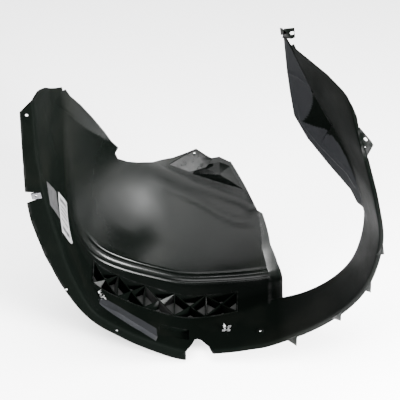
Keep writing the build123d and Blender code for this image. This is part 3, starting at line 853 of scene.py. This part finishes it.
def lattice_cells():
    """Cutters for the four triangular pockets of each cell."""
    tools = []
    mean = tread_radius(LATTICE_FROM + LATTICE_CELLS * LATTICE_PITCH / 2, LATTICE_NEAR)
    for i in range(LATTICE_CELLS):
        a0 = math.radians(LATTICE_FROM + i * LATTICE_PITCH) * mean
        a1 = a0 + math.radians(LATTICE_PITCH) * mean
        n0, f0, f1, n1 = (a0, LATTICE_NEAR), (a0, LATTICE_FAR), (a1, LATTICE_FAR), (a1, LATTICE_NEAR)
        hub = ((a0 + a1) / 2, (LATTICE_NEAR + LATTICE_FAR) / 2)
        left = RIB / 2 if i else 0.0
        right = RIB / 2 if i < LATTICE_CELLS - 1 else 0.0
        pockets = (((n0, f0, hub), left), ((f0, f1, hub), 0.0), ((f1, n1, hub), right), ((n1, n0, hub), 0.0))
        for corners, edge in pockets:
            ring = inset(corners, (edge, RIB / 2, RIB / 2))
            top = []
            bottom = []
            for a, depth in ring:
                angle = math.degrees(a / mean)
                top.append(recess_point(angle, depth, -3 * WALL))
                bottom.append(recess_point(angle, depth, RECESS_DEPTH - WALL))
            tools.append(prism(top, bottom))
    return tools


def edge_strip():
    keys, *columns = zip(*EDGE_STRIP)
    rows = []
    for step in range(keys[-1] * STRIP_STEPS + 1):
        place = step / STRIP_STEPS
        fold, free, fall = [np.interp(place, keys, column) for column in columns]
        start = line_point(dish_line(FOLD_ANGLE), place)
        line = dish_line(free)
        end = line_point(line, place)
        ahead = line_point(line, min(place + 0.1, DOME_TOP_PLACE))
        behind = line_point(line, max(place - 0.1, 0.0))
        run = (ahead - behind) / np.linalg.norm(ahead - behind)
        first = fan_point(fold, *start)
        last = fan_point(free, end[0] + run[1] * fall, end[1] - run[0] * fall)
        rows.append([first + (last - first) * k / STRIP_STEPS for k in range(STRIP_STEPS + 1)])
    return thicken(sheet("strip", [rows], (0.3, -0.6, 0.8)))


def bump():
    """Faceted pyramid on the dome, closed behind."""
    base = [dome_point(*p) + Vector((0, BUMP_SINK, 0)) for p in BUMP_BASE]
    angle, share, rise = BUMP_TIP
    points = [dome_point(angle, share) - Vector((0, rise, 0))] + base
    count = len(base)
    faces = [(0, 1 + i, 1 + (i + 1) % count) for i in range(count)] + [tuple(range(count, 0, -1))]
    return facing_out(mesh_object("bump", points, faces))


# Creases of the rear wall: edge of its upper facet, the long fold below it, a short step.
REAR_BOUNDARY = [
    (0.178, 0.222, 0.6), (0.178, 0.222, 0.587), (0.193, 0.193, 0.572), (0.204, 0.177, 0.555),
    (0.217, 0.175, 0.517), (0.222, 0.179, 0.492), (0.214, 0.2, 0.454), (0.205, 0.221, 0.418),
]
BOUNDARY_REACH = 0.03
BOUNDARY_TILT = -0.3
REAR_CREASE = [
    (0.196, 0.225, 0.458), (0.205, 0.221, 0.418), (0.221, 0.205, 0.404), (0.24, 0.184, 0.389),
    (0.266, 0.154, 0.375), (0.293, 0.128, 0.359), (0.31, 0.115, 0.33),
]
REAR_STEP = [(0.172, 0.25, 0.516), (0.175, 0.246, 0.518), (0.192, 0.215, 0.526), (0.21, 0.186, 0.524)]
# Path, half-width and rise of each.
REAR_RIDGES = ((REAR_BOUNDARY, 0.008, 0.002), (REAR_CREASE, 0.008, 0.003), (REAR_STEP, 0.006, 0.0025))
# How far the wall laps the band, stands inside its edge and off its face, and rounds the corner.
REAR_START = 0.007
REAR_CORNER = 0.001
REAR_LIFT = 0.0003
REAR_ROUND = 0.004
CORNER_STEPS = 5
WALL_STEPS = 40


def rear_rows():
    keys, *ends = zip(*REAR_WALL)
    rows = []
    middle_x = LIP_STATIONS[len(LIP_STATIONS) // 2][0]
    for i in range(REAR_ROWS + 1):
        height = keys[0] + (keys[-1] - keys[0]) * i / REAR_ROWS
        end = Vector([np.interp(height, keys, column) for column in ends])
        place = found(lambda q: q.x < middle_x or q.z < height, band_edge)
        n = inward(place)
        edge = band_edge(place)
        lip = lip_crease(place)
        along = (lip - edge).normalized()
        lift = Vector((n[0], 0, n[1])) * REAR_LIFT
        first = edge + along * REAR_START + lift
        corner = edge + along * REAR_CORNER + lift
        to_end = (end - corner).normalized()
        row = [first, first + (corner - first) * 0.4]
        room = min(REAR_ROUND, (end - corner).length * 0.4)
        a = corner + along * room
        b = corner + to_end * room
        for k in range(CORNER_STEPS + 1):
            t = k / CORNER_STEPS
            row.append(a * (1 - t) ** 2 + corner * 2 * t * (1 - t) + b * t**2)
        for k in range(1, WALL_STEPS + 1):
            row.append(b + (end - b) * k / WALL_STEPS)
        rows.append(row)
    return rows


def tab(outline, y):
    return front_prism(outline, y, y + WALL)


def notch():
    """Cutter for the notch in the front flange, laid along the lip at its height."""
    place = found(lambda q: q.z > NOTCH_Z, lip_crease)
    n = inward(place)
    out = Vector((-n[0], 0, -n[1]))
    along = (lip_crease(place + NUDGE) - lip_crease(place - NUDGE)).normalized()
    facing = out.cross(along).normalized()
    origin = lip_crease(place)
    floor = FRONT_FLANGE - NOTCH_DEPTH
    far = FRONT_FLANGE + NOTCH_REACH
    mouth = NOTCH_MOUTH / 2 + NOTCH_FLARE
    ring = [
        origin + out * floor - along * NOTCH_FLOOR / 2,
        origin + out * far - along * mouth,
        origin + out * far + along * mouth,
        origin + out * floor + along * NOTCH_FLOOR / 2,
    ]
    return through(ring, facing * CUT)


def slot_tool(x, z, length, width, turn):
    a = math.radians(turn)
    along = Vector((math.cos(a), 0, math.sin(a)))
    side = Vector((-math.sin(a), 0, math.cos(a)))
    middle = Vector((x, 0, z))
    half = length / 2 - width / 2
    ring = []
    for i in range(24):
        t = 2 * math.pi * i / 24
        shift = half if math.cos(t) >= 0 else -half
        ring.append(middle + along * (math.cos(t) * width / 2 + shift) + side * math.sin(t) * width / 2)
    return through(ring, Vector((0, CUT, 0)))


# Pocket sunk in the band beside the crown, ringed hole, and the studs of the push-on clips.
POCKET = (-0.054, 0.055, 0.064, 0.034)
POCKET_DEPTH = 0.007
POCKET_SINK = 0.0002
RING = (0.124, 0.04)
RING_HOLE_RADIUS = 0.003
RING_HOLE_LENGTH = 0.03
CLIPS = {"front_clip": (-0.204, 0.082), "crown_clip": (0.056, 0.062)}
# Radius and height of the turned ring and of a stud with its washer face.
RING_PROFILE = [
    (0.003, -0.002), (0.007, -0.002), (0.007, 0.001), (0.0065, 0.0015), (0.0035, 0.0015), (0.003, 0.001),
]
STUD_PROFILE = [
    (0.0004, -0.001), (0.006, -0.001), (0.006, 0.0022), (0.0057, 0.0025), (0.0022, 0.0025),
    (0.0022, 0.008), (0.0018, 0.0085), (0.0004, 0.0085),
]


def tread_point(x, y):
    lip = lip_crease(found(lambda q: q.x < x, lip_crease))
    rim = band_edge(found(lambda q: q.x < x, band_edge))
    return Vector((x, y, lip.z + (rim.z - lip.z) * (y - lip.y) / (rim.y - lip.y)))


def tread_frame(x, y):
    """Point, directions along and across, and upward direction of the band's tread."""
    along = (tread_point(x + TREAD_NUDGE, y) - tread_point(x - TREAD_NUDGE, y)).normalized()
    across = tread_point(x, y + TREAD_NUDGE) - tread_point(x, y - TREAD_NUDGE)
    up = along.cross(across).normalized()
    return tread_point(x, y), along, up.cross(along), up


def tread_block(x, y, length, width, low, high):
    middle, along, across, up = tread_frame(x, y)
    ring = []
    for i, j in ((-1, -1), (1, -1), (1, 1), (-1, 1)):
        ring.append(middle + along * i * length / 2 + across * j * width / 2)
    return prism([p + up * low for p in ring], [p + up * high for p in ring])


def boss(x, y, profile, count=32):
    """Turned shape on the tread, from a profile of radius and height that closes on itself."""
    middle, along, across, up = tread_frame(x, y)
    points = []
    for i in range(count):
        a = 2 * math.pi * i / count
        out = along * math.cos(a) + across * math.sin(a)
        points += [middle + out * r + up * h for r, h in profile]
    size = len(profile)
    faces = []
    for i in range(count):
        for k in range(size):
            a = i * size + k
            b = i * size + (k + 1) % size
            c = (i + 1) % count * size
            faces.append((a, b, c + (k + 1) % size, c + k))
    return facing_out(mesh_object("boss", points, faces))


def bosses():
    return [boss(*RING, RING_PROFILE)] + [boss(*place, STUD_PROFILE) for place in CLIPS.values()]


def mark_recess(obj):
    """Gives the faces inside the lattice the second material, a lighter plastic that paints the light on the
    pocket floors.
    """
    last = LATTICE_FROM + LATTICE_CELLS * LATTICE_PITCH
    for poly in obj.data.polygons:
        c = poly.center
        if c.z > LATTICE_TOP or not LATTICE_NEAR - RECESS_MARGIN < c.y < LATTICE_FAR + RECESS_MARGIN:
            continue
        angle = fan_angle(c)
        if not LATTICE_FROM - RECESS_SWING < angle < last + RECESS_SWING:
            continue
        if math.hypot(c.x - FAN_X, c.z - FAN_Z) > tread_radius(angle, c.y) + WALL:
            poly.material_index = 1


# Facets of the rear wall in front view, X and Z, painted lighter for the light that they catch.
LIT_REAR_FACETS = [
    (0.15, 0.587), (0.171, 0.587), (0.187, 0.561), (0.199, 0.545), (0.21, 0.53), (0.217, 0.512),
    (0.2195, 0.481), (0.214, 0.449), (0.205, 0.421), (0.223, 0.424), (0.242, 0.426), (0.258, 0.43),
    (0.274, 0.416), (0.286, 0.394), (0.299, 0.367), (0.312, 0.336), (0.321, 0.312), (0.33, 0.28),
    (0.28, 0.28), (0.2, 0.36), (0.15, 0.5),
]


def inside(x, z, outline):
    """Whether a place of the front view lies within an outline."""
    within = False
    for (ax, az), (bx, bz) in zip(outline, outline[1:] + outline[:1]):
        if (az > z) != (bz > z) and x < ax + (bx - ax) * (z - az) / (bz - az):
            within = not within
    return within


def mark_lit_facets(obj):
    """Gives the facets of the rear wall the third material, a lighter plastic that paints the light they
    catch.
    """
    for poly in obj.data.polygons:
        if inside(poly.center.x, poly.center.z, LIT_REAR_FACETS):
            poly.material_index = 2


def hole(x, y, z, radius, length=0.06):
    """Cutter along the depth of the moulding."""
    return drill((x, y, z), (0, 1, 0), radius, length)


def with_pocket(body):
    x, y, length, width = POCKET
    outer = tread_block(x, y, length + 2 * WALL, width + 2 * WALL, -POCKET_DEPTH - WALL, -POCKET_SINK)
    body = boolean(body, [outer], "UNION")
    return boolean(body, [tread_block(x, y, length, width, -POCKET_DEPTH, CUT)])


def drains():
    """Cutters for the drain holes beside the lattice."""
    tools = []
    for cell in DRAIN_CELLS:
        angle = LATTICE_FROM + cell * LATTICE_PITCH
        middle = recess_point(angle, LATTICE_FAR + WALL + DRAIN_RADIUS, 0.0)
        out = fan_point(angle, 1, 0) - fan_point(angle, 0, 0)
        tools.append(drill(middle, out, DRAIN_RADIUS, DRAIN_LENGTH))
    return tools


def front_cutters():
    """Everything cut from the front: cells, outlines, notch and holes."""
    tools = lattice_cells() + [front_prism(DISH_OUTLINE), front_prism(ARM_CORNER)]
    tools += [side_prism(ARM_TREAD, ARM_INNER_X - 0.2, ARM_INNER_X), notch()]
    tools += [top_prism(CROWN_CUT, -CROWN_REACH, CROWN_REACH), front_prism(ARM_END)]
    tools += [hole(x, 0.0, z, FLANGE_HOLE_RADIUS, FLANGE_HOLE_LENGTH) for x, z in FLANGE_HOLES]
    tools.append(hole(*TAB_HOLE))
    middle, *_, up = tread_frame(*RING)
    tools.append(drill(middle, up, RING_HOLE_RADIUS, RING_HOLE_LENGTH))
    return tools + drains()


def rear_wall():
    rear = sheet("rear", [rear_rows()], (-0.6, -0.8, 0))
    bend(rear, REAR_BOUNDARY, BOUNDARY_REACH, BOUNDARY_TILT, -1.0, (1, 2))
    ridges(rear, REAR_RIDGES)
    return boolean(thicken(rear), [front_prism(ARM_END)])


def small_tabs():
    """Bracket at the rear arm's tip, and the slotted tab on its lip."""
    tip = boolean(tab(TIP_TAB, TIP_TAB_Y), [hole(*TIP_TAB_HOLE)])
    return [tip, boolean(tab(LIP_TAB, 0.0), [slot_tool(*LIP_TAB_SLOT), hole(*LIP_TAB_HOLE)])]


def liner():
    """The moulding, its pieces joined into one mesh and kept within the box of the solids."""
    body = with_pocket(front_sheet())
    body = boolean(body, [recess_block()], "UNION")
    body = boolean(body, front_cutters())
    body = boolean(body, [bump()], "UNION")
    top_tab = boolean(dome_tab(), [hole(*TAB_HOLE)])
    rear = rear_wall()
    ramp_piece = foot_ramp()
    # The ramp takes the lighter facet plastic too, as painted light on its top.
    ramp_piece.data.polygons.foreach_set("material_index", [2] * len(ramp_piece.data.polygons))
    parts = bosses() + [top_tab, ramp_piece, tab(TIP_SLIVER, TIP_TAB_Y), body, edge_strip(), rear]
    whole = joined("liner_moulding", parts + small_tabs() + [tab(tooth, 0.0) for tooth in TEETH])
    for v in whole.data.vertices:
        v.co.x = max(v.co.x, OUTERMOST)
        v.co.z = max(v.co.z, LOWEST)
    soft_shading(whole, SHARP_ANGLE)
    return whole


# Stage

FLOOR_HALF = 20.0
FLOOR_GAP = 0.0005
SKY_COLOR = (0.9, 0.93, 1.0, 1.0)
SKY_STRENGTH = 0.35
# Place, aim, size and power of each light
LIGHTS = {
    "top": ((0.0, -0.3, 3.6), (0.0, 0.2, 0.0), (3.4, 3.0), 600.0),
    "front": ((1.45, -1.2, 0.55), (-0.14, 0.276, 0.183), (0.6, 0.6), 680.0),
    "low": ((0.0, -2.2, 0.55), (0.0, 0.3, 0.27), (0.5, 0.25), 40.0),
    "right": ((2.2, 0.15, 0.48), (0.06, 0.3, 0.24), (0.5, 0.3), 16.0),
    "left": ((-1.7, -1.0, 0.95), (0.02, 0.3, 0.25), (0.8, 0.8), 140.0),
}


def camera():
    data = bpy.data.cameras.new("camera")
    data.lens = LENS
    data.sensor_width = SENSOR
    data.shift_y = SHIFT_Y
    cam = link("camera", data)
    back = Vector((0.0, -math.cos(ELEVATION), math.sin(ELEVATION)))
    cam.location = TARGET + back * DISTANCE
    cam.rotation_euler = (math.pi / 2 - ELEVATION, 0.0, 0.0)
    bpy.context.scene.camera = cam


def area_light(name, place, aim, size, power):
    data = bpy.data.lights.new(name, "AREA")
    data.shape = "RECTANGLE"
    data.size, data.size_y = size
    data.energy = power
    light = link(name, data)
    light.location = place
    light.rotation_euler = (Vector(aim) - Vector(place)).to_track_quat("-Z", "Y").to_euler()


def world():
    sky = bpy.data.worlds.new("studio")
    bpy.context.scene.world = sky
    sky.use_nodes = True
    back = sky.node_tree.nodes["Background"]
    back.inputs["Color"].default_value = SKY_COLOR
    back.inputs["Strength"].default_value = SKY_STRENGTH


def floor():
    z = cad_box[0][2] - FLOOR_GAP
    corners = [(x * FLOOR_HALF, y * FLOOR_HALF, z) for x, y in ((-1, -1), (1, -1), (1, 1), (-1, 1))]
    obj = mesh_object("floor", corners, [(0, 1, 2, 3)])
    mat = bpy.data.materials.new("floor")
    mat.use_nodes = True
    shader = mat.node_tree.nodes["Principled BSDF"]
    shader.inputs["Base Color"].default_value = (0.93, 0.93, 0.93, 1.0)
    shader.inputs["Roughness"].default_value = 0.9
    shader.inputs["Specular IOR Level"].default_value = 0.1
    obj.data.materials.append(mat)


def node(tree, kind, **values):
    made = tree.nodes.new(kind)
    for key, value in values.items():
        setattr(made, key, value)
    return made


def noise(tree, coords, scale, detail=4.0, stretch=(1.0, 1.0, 1.0)):
    mapping = node(tree, "ShaderNodeMapping")
    mapping.inputs["Scale"].default_value = stretch
    tree.links.new(coords, mapping.inputs["Vector"])
    made = node(tree, "ShaderNodeTexNoise")
    made.inputs["Scale"].default_value = scale
    made.inputs["Detail"].default_value = detail
    tree.links.new(mapping.outputs["Vector"], made.inputs["Vector"])
    return made.outputs["Fac"]


def ramp(tree, value, low, high, at_low, at_high):
    made = node(tree, "ShaderNodeMapRange")
    for key, number in zip(("From Min", "From Max", "To Min", "To Max"), (low, high, at_low, at_high)):
        made.inputs[key].default_value = number
    tree.links.new(value, made.inputs["Value"])
    return made.outputs["Result"]


def blended(tree, share, first, second):
    made = node(tree, "ShaderNodeMix", data_type="RGBA")
    tree.links.new(share, made.inputs["Factor"])
    for socket, color in zip((made.inputs[6], made.inputs[7]), (first, second)):
        if isinstance(color, tuple):
            socket.default_value = (*color, 1.0)
        else:
            tree.links.new(color, socket)
    return made.outputs[2]


def product(tree, *values):
    result = values[0]
    for value in values[1:]:
        made = node(tree, "ShaderNodeMath", operation="MULTIPLY")
        tree.links.new(result, made.inputs[0])
        tree.links.new(value, made.inputs[1])
        result = made.outputs[0]
    return result


def mask(tree, value, low, high):
    """0 at low, 1 at high, straight between."""
    return ramp(tree, value, low, high, 0.0, 1.0)


def new_material(name):
    mat = bpy.data.materials.new(name)
    mat.use_nodes = True
    tree = mat.node_tree
    coords = node(tree, "ShaderNodeTexCoord").outputs["Object"]
    return mat, tree, tree.nodes["Principled BSDF"], coords


def bumped(tree, shader, height, strength, distance):
    made = node(tree, "ShaderNodeBump")
    made.inputs["Strength"].default_value = strength
    made.inputs["Distance"].default_value = distance
    tree.links.new(height, made.inputs["Height"])
    tree.links.new(made.outputs["Normal"], shader.inputs["Normal"])


# Where the plastic turns from satin to glossy: depth, then X; and where the band's own sheen
# starts: X, then height.
GLOSS_DEPTH = (0.16, 0.25)
GLOSS_SIDE = (0.17, 0.13)
BAND_SIDE = (0.16, 0.24)
BAND_HEIGHT = (0.4, 0.15)
# Roughness and specular level of satin and of glossy plastic, and the band's share of the level.
ROUGHNESS = (0.56, 0.22)
LEVEL = (0.004, 0.085)
BAND_LEVEL = 17.0
# Tone of sharp edges: partly rubbed wear, partly a painted highlight where rounded edges catch light.
RUBBED_AND_HIGHLIT_TONE = (0.009, 0.009, 0.009)


def plastic(name, tone, dusty_and_lit):
    """Black moulded plastic: glossy on the dome, satin elsewhere, with grain, dust, and sharp edges toned as
    rubbed wear and as a painted highlight.
    """
    mat, tree, shader, coords = new_material(name)
    edges = node(tree, "ShaderNodeNewGeometry").outputs["Pointiness"]
    # Sharp edges set in patches to a fixed tone, lighter than the black plastic: partly rubbed wear, partly
    # a painted highlight of light caught by rounded edges.
    rubbed_and_highlit = product(tree, mask(tree, edges, 0.53, 0.62), mask(tree, noise(tree, coords, 60.0), 0.4, 0.65))
    dust = ramp(tree, noise(tree, coords, 9.0, 6.0), 0.5, 0.78, 0.0, 0.6)
    base = blended(tree, dust, tone, dusty_and_lit)
    base = blended(tree, rubbed_and_highlit, base, RUBBED_AND_HIGHLIT_TONE)
    tree.links.new(base, shader.inputs["Base Color"])
    parts = node(tree, "ShaderNodeSeparateXYZ")
    tree.links.new(coords, parts.inputs[0])
    x, y, z = [parts.outputs[axis] for axis in "XYZ"]
    gloss = product(tree, mask(tree, y, *GLOSS_DEPTH), mask(tree, x, *GLOSS_SIDE))
    satin = ramp(tree, gloss, 0.0, 1.0, 1.0, 0.0)
    band = product(tree, mask(tree, x, *BAND_SIDE), mask(tree, z, *BAND_HEIGHT), satin)
    cloud = ramp(tree, noise(tree, coords, 14.0, 5.0), 0.3, 0.7, 0.9, 1.15)
    scratch = ramp(tree, noise(tree, coords, 90.0, 3.0, (1.0, 1.0, 14.0)), 0.6, 0.75, 1.0, 1.2)
    sheen = ramp(tree, gloss, 0.0, 1.0, *ROUGHNESS)
    tree.links.new(product(tree, sheen, cloud, scratch), shader.inputs["Roughness"])
    level = product(tree, ramp(tree, gloss, 0.0, 1.0, *LEVEL), ramp(tree, band, 0.0, 1.0, 1.0, BAND_LEVEL))
    tree.links.new(level, shader.inputs["Specular IOR Level"])
    bumped(tree, shader, noise(tree, coords, 1400.0, 2.0), 0.12, 0.0004)
    return mat


def mottled(name, light, dark, scales, roughness):
    """Two tones in soft patches with uneven gloss and a fine grain; scales are those of the three."""
    mat, tree, shader, coords = new_material(name)
    patches, gloss, grain = [noise(tree, coords, scale) for scale in scales]
    tree.links.new(blended(tree, mask(tree, patches, 0.35, 0.7), light, dark), shader.inputs["Base Color"])
    tree.links.new(ramp(tree, gloss, 0.3, 0.7, *roughness), shader.inputs["Roughness"])
    bumped(tree, shader, grain, 0.1, 0.0003)
    return mat, shader


def steel(name, light, dark):
    """Plated spring steel."""
    mat, shader = mottled(name, light, dark, (220.0, 500.0, 900.0), (0.22, 0.4))
    shader.inputs["Metallic"].default_value = 1.0
    return mat


def paper(name, color):
    """Paper of the labels, nearly matt."""
    faded = tuple(part * 0.82 for part in color)
    mat, shader = mottled(name, color, faded, (70.0, 40.0, 600.0), (0.4, 0.6))
    shader.inputs["Specular IOR Level"].default_value = 0.08
    return mat


# Stickers on the front arm: corners from the upper left, clockwise as seen by the viewer.
LABELS = {
    "upper_label": [
        (-0.29, 0.032, 0.401), (-0.28, 0.076, 0.348), (-0.273, 0.054, 0.297), (-0.285, 0.015, 0.358),
    ],
    "lower_label": [
        (-0.278, 0.091, 0.338), (-0.269, 0.151, 0.271), (-0.261, 0.121, 0.186), (-0.269, 0.042, 0.276),
    ],
}
# Paper tone of each label. Both are white stickers; the upper one's much darker tone is painted shade.
LABEL_TONES = {"upper_label": 0.014, "lower_label": 0.11}
LABEL_THICKNESS = 0.0002
LABEL_LIFT = 0.00025
LABEL_STEPS = 50
# Share of the label's width within which the bars lie.
LABEL_MARGINS = (0.12, 0.85)
# Share of the label's height: where each printed bar starts and ends.
LABEL_BARS = ((0.1, 0.18), (0.26, 0.3), (0.36, 0.4), (0.46, 0.5), (0.6, 0.64), (0.78, 0.88))


def sticker(name, carrier, white, grey):
    """Thin label with plain bars, laid on the carrier's surface."""
    corners = [v.co for v in carrier.data.vertices]
    surface = BVHTree.FromPolygons(corners, [p.vertices for p in carrier.data.polygons])
    a, b, c, d = [Vector(p) for p in LABELS[name]]
    rows = []
    for i in range(LABEL_STEPS + 1):
        v = i / LABEL_STEPS
        row = []
        for j in range(LABEL_STEPS + 1):
            u = j / LABEL_STEPS
            spot = (a * (1 - u) + b * u) * (1 - v) + (d * (1 - u) + c * u) * v
            place, normal = surface.find_nearest(spot)[:2]
            if normal.x < 0:
                normal = -normal
            row.append(place + normal * LABEL_LIFT)
        rows.append(row)
    obj = sheet(name, [rows], (1, 0, 0))
    for poly in obj.data.polygons:
        row, column = divmod(poly.index, LABEL_STEPS)
        down = (row + 0.5) / LABEL_STEPS
        across = (column + 0.5) / LABEL_STEPS
        barred = any(low < down < high for low, high in LABEL_BARS)
        poly.material_index = 1 if barred and LABEL_MARGINS[0] < across < LABEL_MARGINS[1] else 0
    obj.data.materials.append(white)
    obj.data.materials.append(grey)
    thicken(obj, LABEL_THICKNESS, 1.0)
    soft_shading(obj, 40)
    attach(obj, "root")


camera()
world()
floor()
for name, values in LIGHTS.items():
    area_light(name, *values)
black = plastic("liner_plastic", (0.0006, 0.0009, 0.0007), (0.0022, 0.0024, 0.0019))
# Lighter plastic for the lattice pockets: painted light on their floors, with its own dust patches.
dusty_and_lit = plastic("lit_recess_plastic", (0.02, 0.0205, 0.02), (0.028, 0.028, 0.027))
# Lighter plastic for the rear wall's facets and the ramp: painted light where they catch it.
facets = plastic("lit_facet_plastic", (0.0065, 0.0068, 0.0074), (0.009, 0.0093, 0.0098))
zinc = steel("spring_steel", (0.74, 0.74, 0.72), (0.55, 0.56, 0.58))
dull = steel("dull_steel", (0.09, 0.09, 0.095), (0.05, 0.05, 0.055))
moulding = liner()
for finish in (black, dusty_and_lit, facets):
    moulding.data.materials.append(finish)
mark_recess(moulding)
mark_lit_facets(moulding)
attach(moulding, "root")
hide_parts("liner_shell")
for name in ("lip_spring_nut", "front_clip", "crown_clip"):
    part = frame["nodes"][name]
    part.data.materials.clear()
    part.data.materials.append(dull if name == "lip_spring_nut" else zinc)
grey = paper("label_grey", (0.02, 0.02, 0.021))
for name, tone in LABEL_TONES.items():
    sticker(name, moulding, paper(name, (tone, tone, tone * 1.01)), grey)
